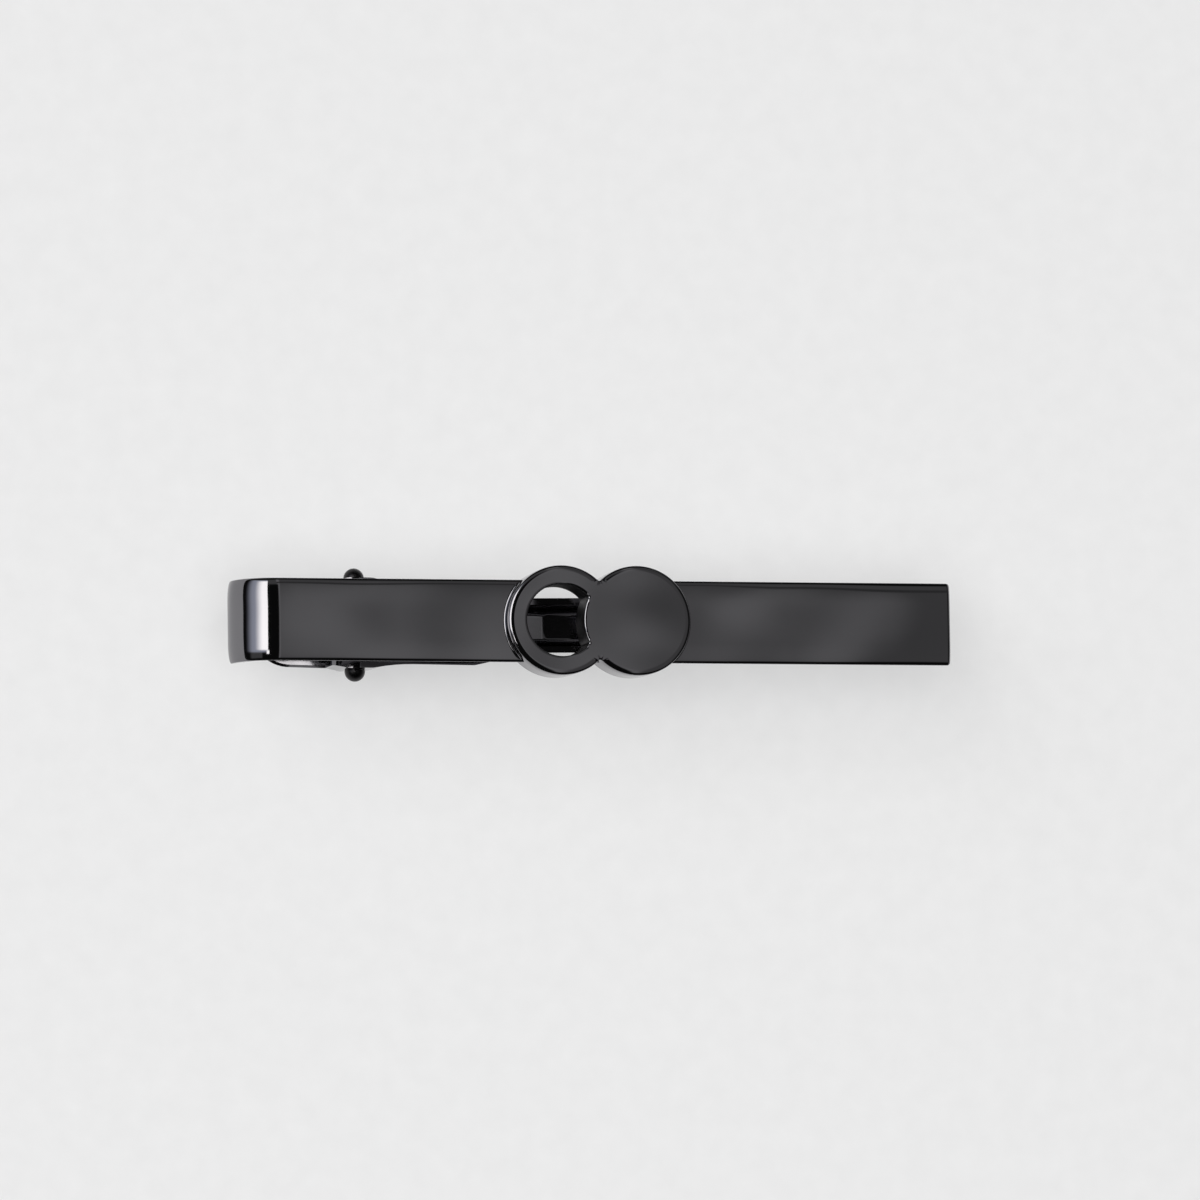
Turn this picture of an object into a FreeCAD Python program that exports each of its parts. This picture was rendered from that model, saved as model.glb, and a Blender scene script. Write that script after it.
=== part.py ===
import FreeCAD, Part
import math
import os
import re
import Sketcher

# Tie clip, lying face up. X runs along the bar towards its tip, Y across it, Z out of the front.
# The origin is on the bar's underside, at the middle of its length and width.

# Lengths in millimetres and angles in degrees, each written once.
driving_sizes = [
    ("bar_length", 56.8),
    ("bar_width", 6.45),
    ("bar_thickness", 1.8),
    ("bend_inside", 1.6),
    ("hook_drop", 0.6),
    ("corner_round", 0.5),
    ("front_round", 0.3),
    ("rim_round", 0.18),
    ("ornament_radius", 4.25),
    ("ring_wall", 1.45),
    ("disc_bite", 1.05),
    ("ornament_offset", 0.1),
    ("ornament_height", 1.0),
    ("ornament_rim", 0.12),
    ("notch_round", 0.2),
    ("hinge_inset", 10.3),
    ("hinge_drop", 2.9),
    ("pin_diameter", 1.1),
    ("ball_diameter", 1.6),
    ("head_height", 0.9),
    ("pin_clearance", 0.03),
    ("side_clearance", 0.2),
    ("bracket_sheet", 0.5),
    ("bracket_length", 5.0),
    ("bracket_wall", 0.52),
    ("lever_sheet", 0.5),
    ("ear_width", 7.0),
    ("ear_flat", 2.0),
    ("ear_lobe", 2.2),
    ("ear_back_set", 0.193),
    ("waist_step", 0.335),
    ("waist_start", 4.3),
    ("waist_end", 9.25),
    ("trough_width", 4.25),
    ("trough_start", 13.8),
    ("trough_height", 2.65),
    ("crank_start", 15.45),
    ("crank_bend", 4.0),
    ("floor_clearance", 0.14),
    ("jaw_reach", 33.1),
    ("jaw_height", 1.45),
    ("jaw_gap", 0.06),
    ("jaw_corner", 0.6),
    ("tooth_pitch", 1.2),
    ("tooth_depth", 0.6),
    ("tooth_count", 6),
    ("tab_end", 7.3),
    ("tab_step", 0.28),
    ("tab_taper", 0.14),
    ("tab_end_flat", 0.76),
    ("tab_lean", 16.0),
    ("fold_round", 0.2),
    ("plan_round", 1.5),
    ("tab_bend", 2.0),
    ("wire_diameter", 0.45),
    ("coil_clearance", 0.2),
    ("coil_pitch", 0.95),
    ("whole_turns", 2),
    ("leg_clearance", 0.03),
    ("leg_length", 5.0),
    ("overrun", 5.0),
]

# Values that follow from the ones above.
derived_sizes = [
    ("tip_x", "bar_length / 2"),
    ("bend_radius", "bend_inside + bar_thickness"),
    ("hinge_offset", "bar_length / 2 - hinge_inset"),
    ("bend_x", "bend_radius - bar_length / 2"),
    ("ring_hole_radius", "ornament_radius - ring_wall"),
    ("circle_spacing", "ornament_radius + ring_hole_radius - disc_bite"),
    ("ring_x", "ornament_offset - circle_spacing / 2"),
    ("disc_x", "ornament_offset + circle_spacing / 2"),
    ("notch_half", "sqrt(ornament_radius^2 - circle_spacing^2 / 4)"),
    ("notch_angle", "asin(circle_spacing / (2 * ornament_radius))"),
    ("hole_corner", "(circle_spacing^2 + ring_hole_radius^2 - ornament_radius^2) / (2 * circle_spacing)"),
    ("hole_half", "sqrt(ring_hole_radius^2 - hole_corner^2)"),
    ("coil_radius", "(pin_diameter + wire_diameter) / 2 + coil_clearance"),
    ("coil_outside", "coil_radius + wire_diameter / 2"),
    ("floor_drop", "coil_outside + floor_clearance + lever_sheet"),
    ("waist_width", "ear_width - 2 * waist_step"),
    ("tab_root_width", "ear_width - 2 * tab_step"),
    ("tab_end_width", "tab_root_width - 2 * tab_taper"),
    ("tab_corner", "(tab_end_width - tab_end_flat) / 2"),
    ("ear_run", "waist_start - ear_flat / 2"),
    ("ear_sweep", "(ear_run^2 + waist_step^2) / (2 * waist_step)"),
    ("floor_top", "lever_sheet - floor_drop"),
    ("jaw_top", "hinge_drop - jaw_gap"),
    ("trough_top", "trough_height - floor_drop"),
    ("jaw_rise", "jaw_top - jaw_height + floor_drop"),
    ("crank_lean", "atan(jaw_rise / (jaw_reach - crank_start))"),
    ("crank_run", "crank_bend * tan(crank_lean / 2)"),
    ("ear_tangent", "atan(trough_top / trough_start) + acos(ear_lobe / sqrt(trough_start^2 + trough_top^2))"),
    ("lever_reach", "ear_lobe + tab_end"),
    ("bend_run", "tab_bend * tan(tab_lean / 2)"),
    ("ear_back", "ear_lobe - ear_back_set"),
    ("ear_start", "ear_back - lever_sheet * tan(tab_lean / 2)"),
    ("bracket_width", "ear_width - 2 * lever_sheet - 2 * side_clearance"),
    ("ball_radius", "ball_diameter / 2"),
    ("pin_span", "ear_width + 2 * head_height"),
    ("ball_y", "pin_span / 2 - ball_radius"),
    ("head_y", "ear_width / 2 + pin_clearance"),
    ("head_radius", "sqrt(ball_radius^2 - (ball_y - head_y)^2)"),
    ("pin_hole", "pin_diameter / 2 + pin_clearance"),
    ("bracket_lobe", "pin_hole + bracket_wall"),
    ("bend_distance", "sqrt(ear_back^2 + floor_top^2)"),
    ("tab_leg_lean", "-atan(floor_top / ear_back) - asin((coil_outside + leg_clearance) / bend_distance)"),
    ("leg_swing", "sqrt(leg_length^2 + coil_outside^2)"),
    ("bar_leg_lean", "asin((hinge_drop - leg_clearance) / leg_swing) - atan(coil_outside / leg_length)"),
]

doc = FreeCAD.newDocument("tie_clip")
sheet = doc.addObject("Spreadsheet::Sheet", "Sizes")
names = set()


def fill_sheet():
    rows = [(name, str(number)) for name, number in driving_sizes]
    rows += [(name, "=" + formula) for name, formula in derived_sizes]
    for row, (name, content) in enumerate(rows, 1):
        sheet.set(f"A{row}", name)
        sheet.set(f"B{row}", content)
        sheet.setAlias(f"B{row}", name)
        names.add(name)
    doc.recompute()


def bound(formula):
    return re.sub(r"[a-z]\w*", lambda word: "Sizes." * (word.group() in names) + word.group(), formula)


def value(formula):
    result = sheet.evalExpression(bound(formula))
    return float(getattr(result, "Value", result))


def new_body(name):
    return doc.addObject("PartDesign::Body", name)


def new_sketch(body, name, plane, lift="0"):
    sketch = body.newObject("Sketcher::SketchObject", name)
    origin_plane = next(item for item in body.Origin.OriginFeatures if item.Role == plane)
    sketch.AttachmentSupport = [(origin_plane, "")]
    sketch.MapMode = "FlatFace"
    sketch.setExpression("AttachmentOffset.Base.z", bound(lift))
    return sketch


def fix(sketch, kind, place, formula):
    index = sketch.addConstraint(Sketcher.Constraint(kind, *place, value(formula)))
    sketch.setExpression(f"Constraints[{index}]", bound(formula))


def pin_down(sketch, side, end, across, up):
    for kind, formula, axis in (("DistanceX", across, -2), ("DistanceY", up, -1)):
        if formula == "0":
            sketch.addConstraint(Sketcher.Constraint("PointOnObject", side, end, axis))
        else:
            fix(sketch, kind, (side, end), formula)


def arc_side(start, through, stop):
    circle = Part.Arc(start, through, stop).toShape().Curve
    centre = circle.Center
    turn = (through - start).cross(stop - through).z
    first, last = (start, stop) if turn > 0 else (stop, start)
    begin = math.atan2(first.y - centre.y, first.x - centre.x)
    finish = math.atan2(last.y - centre.y, last.x - centre.x)
    full = Part.Circle(centre, FreeCAD.Vector(0, 0, 1), circle.Radius)
    return Part.ArcOfCircle(full, begin, finish), turn > 0


# A corner is (across, up) before a straight side, or (across, up, radius, through across, through up)
# before an arc.
def outline(sketch, corners):
    spots = [FreeCAD.Vector(value(corner[0]), value(corner[1]), 0) for corner in corners]
    sides = []
    for number, corner in enumerate(corners):
        stop = spots[(number + 1) % len(spots)]
        if len(corner) == 2:
            side = sketch.addGeometry(Part.LineSegment(spots[number], stop))
            sides.append((side, 1, 2))
        else:
            through = FreeCAD.Vector(value(corner[3]), value(corner[4]), 0)
            arc, forward = arc_side(spots[number], through, stop)
            side = sketch.addGeometry(arc)
            sides.append((side, 1, 2) if forward else (side, 2, 1))
    for number, (side, begin, finish) in enumerate(sides):
        follower = sides[(number + 1) % len(sides)]
        sketch.addConstraint(Sketcher.Constraint("Coincident", side, finish, follower[0], follower[1]))
    for (side, begin, finish), corner in zip(sides, corners):
        pin_down(sketch, side, begin, corner[0], corner[1])
        if len(corner) > 2:
            fix(sketch, "Radius", (side,), corner[2])
    return sketch


def circle(sketch, across, up, radius):
    centre = FreeCAD.Vector(value(across), value(up), 0)
    side = sketch.addGeometry(Part.Circle(centre, FreeCAD.Vector(0, 0, 1), value(radius)))
    pin_down(sketch, side, 3, across, up)
    fix(sketch, "Radius", (side,), radius)
    return sketch


def pad(body, sketch, length, side_type="One side"):
    feature = body.newObject("PartDesign::Pad", sketch.Name + "_pad")
    feature.Profile = sketch
    feature.SideType = side_type
    feature.setExpression("Length", bound(length))
    doc.recompute()
    return feature


def cut_through(body, sketch):
    feature = body.newObject("PartDesign::Pocket", sketch.Name + "_cut")
    feature.Profile = sketch
    feature.SideType = "Symmetric"
    feature.Type = "ThroughAll"
    doc.recompute()
    return feature


# Names of the edges where two faces meet at a real corner and whose middle passes the test.
def sharp_edges(feature, test, least_turn):
    shape = feature.Shape
    chosen = []
    for number, edge in enumerate(shape.Edges, 1):
        middle = edge.valueAt((edge.FirstParameter + edge.LastParameter) / 2)
        faces = shape.ancestorsOfType(edge, Part.Face)
        if len(faces) == 2 and test(edge, middle):
            normals = [face.normalAt(*face.Surface.parameter(middle)) for face in faces]
            if abs(normals[0].dot(normals[1])) < math.cos(math.radians(least_turn)):
                chosen.append(f"Edge{number}")
    return chosen


def round_off(body, name, test, radius, least_turn=20):
    base = body.Tip
    feature = body.newObject("PartDesign::Fillet", name)
    feature.Base = (base, sharp_edges(base, test, least_turn))
    feature.setExpression("Radius", bound(radius))
    doc.recompute()
    return feature


def bevel(body, name, test, width, least_turn=20):
    base = body.Tip
    feature = body.newObject("PartDesign::Chamfer", name)
    feature.Base = (base, sharp_edges(base, test, least_turn))
    feature.setExpression("Size", bound(width))
    doc.recompute()
    return feature


def runs_along(edge, direction):
    span = edge.valueAt(edge.LastParameter) - edge.valueAt(edge.FirstParameter)
    return near(span.cross(direction).Length, 0) and not near(span.Length, 0)


def ring_and_disc(sketch):
    corners = [
        ("ornament_offset", "notch_half", "ornament_radius", "ring_x - ornament_radius", "0"),
        ("ornament_offset", "-notch_half", "ornament_radius", "disc_x + ornament_radius", "0"),
    ]
    return outline(sketch, corners)


def notch_wedges(sketch):
    for way in ("", "-"):
        corners = [
            ("ring_x", f"{way}ornament_radius", "ornament_radius",
             "ring_x + ornament_radius * sin(notch_angle / 2)", f"{way}ornament_radius * cos(notch_angle / 2)"),
            ("ornament_offset", f"{way}notch_half", "ornament_radius",
             "disc_x - ornament_radius * sin(notch_angle / 2)", f"{way}ornament_radius * cos(notch_angle / 2)"),
            ("disc_x", f"{way}ornament_radius"),
            ("disc_x", f"{way}(ornament_radius + overrun)"),
            ("ring_x", f"{way}(ornament_radius + overrun)"),
        ]
        outline(sketch, corners)
    return sketch


def ring_hole(sketch):
    corners = [
        ("ring_x + hole_corner", "hole_half", "ring_hole_radius", "ring_x - ring_hole_radius", "0"),
        ("ring_x + hole_corner", "-hole_half", "ornament_radius", "disc_x - ornament_radius", "0"),
    ]
    return outline(sketch, corners)


def near(first, second):
    return abs(first - second) < value("rim_round") / 100


def in_notch(edge, middle):
    upright = runs_along(edge, FreeCAD.Vector(0, 0, 1))
    return upright and (near(middle.x, value("ornament_offset")) or near(middle.x, value("ring_x + hole_corner")))


def at_hinge(piece):
    piece.setExpression("Placement.Base.x", bound("-hinge_offset"))
    piece.setExpression("Placement.Base.z", bound("-hinge_drop"))


def above_underside(spot):
    tab = min(0, spot.x + value("ear_start")) * value("tan(tab_lean)")
    jaw = max(0, spot.x - value("crank_start")) * value("tan(crank_lean)")
    return spot.z + value("floor_drop") - tab - jaw


# True on the side of the strip that shows: flat along the bar, then round the bend and down the hook.
def on_front(spot):
    past_bend = value("bend_x") - spot.x
    above_hook = spot.z - value("bar_thickness - bend_radius")
    if past_bend < 0:
        return near(spot.z, value("bar_thickness"))
    if above_hook < 0:
        return near(past_bend, value("bend_radius"))
    return near(math.hypot(past_bend, above_hook), value("bend_radius"))


def front_bar():
    body = new_body("front_bar")
    corners = [
        ("tip_x", "0"),
        ("tip_x", "bar_thickness"),
        ("bend_x", "bar_thickness", "bend_radius",
         "bend_x - bend_radius * cos(45)", "bar_thickness - bend_radius + bend_radius * sin(45)"),
        ("bend_x - bend_radius", "bar_thickness - bend_radius"),
        ("bend_x - bend_radius", "bar_thickness - bend_radius - hook_drop"),
        ("bend_x - bend_radius + bar_thickness", "bar_thickness - bend_radius - hook_drop"),
        ("bend_x - bend_radius + bar_thickness", "bar_thickness - bend_radius", "bend_radius - bar_thickness",
         "bend_x - (bend_radius - bar_thickness) * cos(45)",
         "bar_thickness - bend_radius + (bend_radius - bar_thickness) * sin(45)"),
        ("bend_x", "0"),
    ]
    strip = outline(new_sketch(body, "bar_side", "XZ_Plane"), corners)
    pad(body, strip, "bar_width", "Symmetric")
    tip = value("tip_x")
    hook_end = value("bar_thickness - bend_radius - hook_drop")
    upright = FreeCAD.Vector(0, 0, 1)
    lengthwise = FreeCAD.Vector(1, 0, 0)
    round_off(body, "bar_corners", lambda edge, middle: near(middle.x, tip) and runs_along(edge, upright)
              or near(middle.z, hook_end) and runs_along(edge, lengthwise), "corner_round")
    round_off(body, "bar_front_rims", lambda edge, middle: on_front(middle), "front_round")
    bevel(body, "bar_back_rims", lambda edge, middle: True, "rim_round")
    pad(body, ring_and_disc(new_sketch(body, "bar_swell", "XY_Plane")), "bar_thickness")
    cut_through(body, notch_wedges(new_sketch(body, "bar_wedges", "XY_Plane")))
    cut_through(body, ring_hole(new_sketch(body, "bar_hole", "XY_Plane")))
    round_off(body, "bar_notches", in_notch, "notch_round")
    return body


def ornament_plate():
    body = new_body("ornament_plate")
    pad(body, ring_and_disc(new_sketch(body, "plate_face", "XY_Plane", "bar_thickness")), "ornament_height")
    cut_through(body, ring_hole(new_sketch(body, "plate_hole", "XY_Plane", "bar_thickness")))
    round_off(body, "plate_notches", in_notch, "notch_round")
    face = value("bar_thickness + ornament_height")
    bevel(body, "plate_rims", lambda edge, middle: near(middle.z, face), "ornament_rim")
    return body


def hinge_bracket():
    body = new_body("hinge_bracket")
    corners = [
        ("-bracket_length / 2", "hinge_drop"),
        ("-bracket_length / 2", "hinge_drop - bracket_sheet"),
        ("-bracket_lobe", "hinge_drop - bracket_sheet"),
        ("-bracket_lobe", "0", "bracket_lobe", "-bracket_lobe * cos(45)", "-bracket_lobe * sin(45)"),
        ("0", "-bracket_lobe", "bracket_lobe", "bracket_lobe * cos(45)", "-bracket_lobe * sin(45)"),
        ("bracket_lobe", "0"),
        ("bracket_lobe", "hinge_drop - bracket_sheet"),
        ("bracket_length / 2", "hinge_drop - bracket_sheet"),
        ("bracket_length / 2", "hinge_drop"),
    ]
    pad(body, outline(new_sketch(body, "bracket_side", "XZ_Plane"), corners), "bracket_width", "Symmetric")
    between = [
        ("bracket_sheet - bracket_width / 2", "hinge_drop - bracket_sheet"),
        ("bracket_sheet - bracket_width / 2", "-bracket_lobe - overrun"),
        ("bracket_width / 2 - bracket_sheet", "-bracket_lobe - overrun"),
        ("bracket_width / 2 - bracket_sheet", "hinge_drop - bracket_sheet"),
    ]
    cut_through(body, outline(new_sketch(body, "bracket_between", "YZ_Plane"), between))
    cut_through(body, circle(new_sketch(body, "bracket_bore", "XZ_Plane"), "0", "0", "pin_hole"))
    lengthwise = FreeCAD.Vector(1, 0, 0)
    side = value("bracket_width / 2")
    top = value("hinge_drop")
    round_off(body, "bracket_folds", lambda edge, middle: runs_along(edge, lengthwise)
              and near(abs(middle.y), side) and near(middle.z, top), "fold_round")
    at_hinge(body)
    return body


def hinge_pin():
    body = new_body("hinge_pin")
    corners = [
        ("-pin_span / 2", "0", "ball_radius", "-ball_y - ball_radius * cos(45)", "ball_radius * sin(45)"),
        ("-head_y", "head_radius"),
        ("-head_y", "pin_diameter / 2"),
        ("head_y", "pin_diameter / 2"),
        ("head_y", "head_radius", "ball_radius", "ball_y + ball_radius * cos(45)", "ball_radius * sin(45)"),
        ("pin_span / 2", "0"),
    ]
    profile = outline(new_sketch(body, "pin_profile", "YZ_Plane"), corners)
    turned = body.newObject("PartDesign::Revolution", "pin_turned")
    turned.Profile = profile
    turned.ReferenceAxis = (profile, ["H_Axis"])
    turned.Angle = 360
    at_hinge(body)
    return body


# The lever's origin is on the pin's axis. Its floor runs level to the crank and then rises to the jaw.
def lever_side():
    corners = [
        ("-tab_end", "-floor_drop - (tab_end - ear_start) * tan(tab_lean)"),
        ("-ear_start - bend_run * cos(tab_lean)", "-floor_drop - bend_run * sin(tab_lean)", "tab_bend",
         "bend_run - ear_start - tab_bend * sin(tab_lean / 2)",
         "tab_bend * cos(tab_lean / 2) - tab_bend - floor_drop"),
        ("bend_run - ear_start", "-floor_drop"),
        ("crank_start - crank_run", "-floor_drop", "crank_bend",
         "crank_start - crank_run + crank_bend * sin(crank_lean / 2)",
         "crank_bend - crank_bend * cos(crank_lean / 2) - floor_drop"),
        ("crank_start + crank_run * cos(crank_lean)", "crank_run * sin(crank_lean) - floor_drop"),
        ("jaw_reach", "jaw_rise - floor_drop"),
    ]
    for tooth in range(int(value("tooth_count"))):
        corners += [
            (f"jaw_reach - {tooth} * tooth_pitch", "jaw_top"),
            (f"jaw_reach - (2 * {tooth} + 1) * tooth_pitch / 2", "jaw_top - tooth_depth"),
        ]
    corners += [
        ("jaw_reach - tooth_count * tooth_pitch", "jaw_top"),
        ("jaw_reach - (tooth_count + 1) * tooth_pitch", "jaw_top - tooth_depth"),
        ("trough_start", "trough_top"),
        ("ear_lobe * cos(ear_tangent)", "ear_lobe * sin(ear_tangent)", "ear_lobe", "-ear_lobe * cos(60)",
         "ear_lobe * sin(60)"),
        ("-ear_back", "sqrt(ear_lobe^2 - ear_back^2)"),
        ("-ear_back", "floor_top"),
        ("-tab_end", "-floor_drop - (tab_end - ear_start) * tan(tab_lean) + lever_sheet / cos(tab_lean)"),
    ]
    return corners


def lever_plan():
    upper = [
        ("jaw_reach - jaw_corner", "trough_width / 2"),
        ("trough_start", "trough_width / 2"),
        ("waist_end", "waist_width / 2"),
        ("waist_start", "waist_width / 2", "ear_sweep", "waist_start - ear_run / 2",
         "waist_width / 2 + ear_sweep - sqrt(ear_sweep^2 - ear_run^2 / 4)"),
        ("ear_flat / 2", "ear_width / 2"),
        ("-ear_flat / 2", "ear_width / 2"),
        ("-ear_start", "tab_root_width / 2"),
        ("tab_corner - tab_end", "tab_end_width / 2", "tab_corner",
         "tab_corner - tab_end - tab_corner * cos(45)", "tab_end_width / 2 - tab_corner + tab_corner * sin(45)"),
    ]
    lower = [
        ("-tab_end", "tab_end_width / 2 - tab_corner"),
        ("-tab_end", "tab_corner - tab_end_width / 2", "tab_corner",
         "tab_corner - tab_end - tab_corner * cos(45)", "tab_corner - tab_end_width / 2 - tab_corner * sin(45)"),
        ("tab_corner - tab_end", "-tab_end_width / 2"),
        ("-ear_start", "-tab_root_width / 2"),
        ("-ear_flat / 2", "-ear_width / 2"),
        ("ear_flat / 2", "-ear_width / 2", "ear_sweep", "waist_start - ear_run / 2",
         "sqrt(ear_sweep^2 - ear_run^2 / 4) - ear_sweep - waist_width / 2"),
        ("waist_start", "-waist_width / 2"),
        ("waist_end", "-waist_width / 2"),
        ("trough_start", "-trough_width / 2"),
        ("jaw_reach - jaw_corner", "-trough_width / 2", "jaw_corner",
         "jaw_reach - jaw_corner + jaw_corner * cos(45)", "jaw_corner - trough_width / 2 - jaw_corner * sin(45)"),
        ("jaw_reach", "jaw_corner - trough_width / 2"),
        ("jaw_reach", "trough_width / 2 - jaw_corner", "jaw_corner",
         "jaw_reach - jaw_corner + jaw_corner * cos(45)", "trough_width / 2 - jaw_corner + jaw_corner * sin(45)"),
    ]
    return upper + lower


def lever_surround():
    return [
        ("-tab_end - overrun", "-lever_reach - overrun"),
        ("jaw_reach + overrun", "-lever_reach - overrun"),
        ("jaw_reach + overrun", "lever_reach + overrun"),
        ("-tab_end - overrun", "lever_reach + overrun"),
    ]


def lever_inside():
    return [
        ("-tab_end - overrun", "tab_root_width / 2 - lever_sheet"),
        ("-ear_start", "tab_root_width / 2 - lever_sheet"),
        ("-ear_flat / 2", "ear_width / 2 - lever_sheet"),
        ("ear_flat / 2", "ear_width / 2 - lever_sheet", "ear_sweep", "waist_start - ear_run / 2",
         "waist_width / 2 - lever_sheet + ear_sweep - sqrt(ear_sweep^2 - ear_run^2 / 4)"),
        ("waist_start", "waist_width / 2 - lever_sheet"),
        ("waist_end", "waist_width / 2 - lever_sheet"),
        ("trough_start", "trough_width / 2 - lever_sheet"),
        ("crank_start", "trough_width / 2 - lever_sheet"),
        ("crank_start", "lever_sheet - trough_width / 2"),
        ("trough_start", "lever_sheet - trough_width / 2"),
        ("waist_end", "lever_sheet - waist_width / 2"),
        ("waist_start", "lever_sheet - waist_width / 2", "ear_sweep", "waist_start - ear_run / 2",
         "lever_sheet - waist_width / 2 - ear_sweep + sqrt(ear_sweep^2 - ear_run^2 / 4)"),
        ("ear_flat / 2", "lever_sheet - ear_width / 2"),
        ("-ear_flat / 2", "lever_sheet - ear_width / 2"),
        ("-ear_start", "lever_sheet - tab_root_width / 2"),
        ("-tab_end - overrun", "lever_sheet - tab_root_width / 2"),
    ]


# The trough past the crank, seen from the side.
def trough_inside():
    return [
        ("crank_start", "floor_top"),
        ("jaw_reach - lever_sheet", "floor_top + (jaw_reach - lever_sheet - crank_start) * tan(crank_lean)"),
        ("jaw_reach - lever_sheet", "jaw_top + overrun"),
        ("crank_start", "jaw_top + overrun"),
    ]


def clip_lever():
    body = new_body("clip_lever")
    pad(body, outline(new_sketch(body, "lever_plan", "XY_Plane"), lever_plan()), "2 * lever_reach", "Symmetric")
    upright = FreeCAD.Vector(0, 0, 1)
    round_off(body, "lever_sides", lambda edge, middle: runs_along(edge, upright), "plan_round", 3)
    side = new_sketch(body, "lever_side", "XZ_Plane")
    outline(side, lever_surround())
    outline(side, lever_side())
    cut_through(body, side)
    round_off(body, "lever_folds", lambda edge, middle: near(above_underside(middle), 0), "fold_round")
    inside = outline(new_sketch(body, "lever_inside", "XY_Plane", "floor_top"), lever_inside())
    hollow = body.newObject("PartDesign::Pocket", "lever_hollow")
    hollow.Profile = inside
    hollow.Type = "ThroughAll"
    hollow.Reversed = True
    doc.recompute()
    trough = outline(new_sketch(body, "trough_inside", "XZ_Plane"), trough_inside())
    channel = body.newObject("PartDesign::Pocket", "trough_hollow")
    channel.Profile = trough
    channel.SideType = "Symmetric"
    channel.setExpression("Length", bound("trough_width - 2 * lever_sheet"))
    doc.recompute()
    cut_through(body, circle(new_sketch(body, "lever_bore", "XZ_Plane"), "0", "0", "pin_hole"))
    tab_top = value("lever_sheet / cos(tab_lean)")
    tab_limit = value("-ear_back")
    bevel(body, "tab_rim", lambda edge, middle: middle.x < tab_limit
          and near(above_underside(middle), tab_top), "rim_round")
    at_hinge(body)
    return body


# One tangent-continuous pair of arcs between two points with given directions.
def arc_pair(start, start_way, stop, stop_way):
    chord = stop - start
    ways = start_way + stop_way
    square = 2 * (1 - start_way.dot(stop_way))
    half = chord.dot(ways)
    reach = (math.sqrt(half * half + square * chord.dot(chord)) - half) / square
    first_knee = start + start_way * reach
    second_knee = stop - stop_way * reach
    joint = (first_knee + second_knee) * 0.5
    return [arc_past(start, first_knee, joint), arc_past(joint, second_knee, stop)]


def arc_past(start, knee, stop):
    middle = (start + stop) * 0.5
    half_chord = (stop - start).Length / 2
    rise = (knee - middle).Length
    sagitta = half_chord * math.tan(math.atan2(rise, half_chord) / 2)
    return Part.Arc(start, middle + (knee - middle) * (sagitta / rise), stop).toShape()


def coil_stations():
    first = math.radians(value("tab_leg_lean")) - math.pi / 2
    last = math.pi / 2 - math.radians(value("bar_leg_lean")) + 2 * math.pi * value("whole_turns")
    steps = math.ceil((last - first) / math.pi)
    radius = value("coil_radius")
    rise = value("coil_pitch") / (2 * math.pi)
    stations = []
    for step in range(steps + 1):
        turn = first + (last - first) * step / steps
        spot = FreeCAD.Vector(radius * math.cos(turn), rise * (turn - (first + last) / 2), radius * math.sin(turn))
        climb = rise * (0 < step < steps)
        way = FreeCAD.Vector(-radius * math.sin(turn), climb, radius * math.cos(turn)).normalize()
        stations.append((spot, way))
    return stations


def torsion_spring():
    stations = coil_stations()
    leg = value("leg_length")
    foot = stations[0][0] - stations[0][1] * leg
    head = stations[-1][0] + stations[-1][1] * leg
    edges = [Part.makeLine(foot, stations[0][0])]
    for (start, start_way), (stop, stop_way) in zip(stations, stations[1:]):
        edges += arc_pair(start, start_way, stop, stop_way)
    edges.append(Part.makeLine(stations[-1][0], head))
    path = Part.Wire(edges)
    section = Part.Wire(Part.makeCircle(value("wire_diameter / 2"), foot, stations[0][1]))
    spring = doc.addObject("Part::Feature", "torsion_spring")
    spring.Shape = path.makePipeShell([section], True, False)
    at_hinge(spring)
    print("torsion_spring least gap to itself, mm:", round(self_gap(path), 3))
    return spring


# Least clear distance between stretches of the wire that are more than half a turn apart along it.
def self_gap(path):
    step = value("wire_diameter / 4")
    spots = path.discretize(Distance=step)
    apart = math.ceil(value("coil_radius") * math.pi / step)
    least = min((spots[late] - spots[early]).Length
                for early in range(len(spots)) for late in range(early + apart, len(spots)))
    return least - value("wire_diameter")


def check_and_export(pieces):
    os.makedirs("parts", exist_ok=True)
    faults = [item.Name for item in doc.Objects if "Invalid" in item.State or "Error" in item.State]
    for piece in pieces:
        shape = piece.Shape
        if shape.isNull() or not shape.isValid() or len(shape.Solids) != 1:
            faults.append(piece.Label)
    if faults:
        raise RuntimeError("faulty objects: " + ", ".join(faults))
    for piece in pieces:
        print(piece.Label, "volume, mm3:", round(piece.Shape.Volume, 2))
        piece.Shape.exportStep(f"parts/{piece.Label}.step")


fill_sheet()
all_pieces = [front_bar(), ornament_plate(), hinge_bracket(), hinge_pin(), clip_lever(), torsion_spring()]
doc.recompute()
check_and_export(all_pieces)
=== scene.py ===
import math

import bpy
from mathutils import Matrix, Vector


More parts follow.
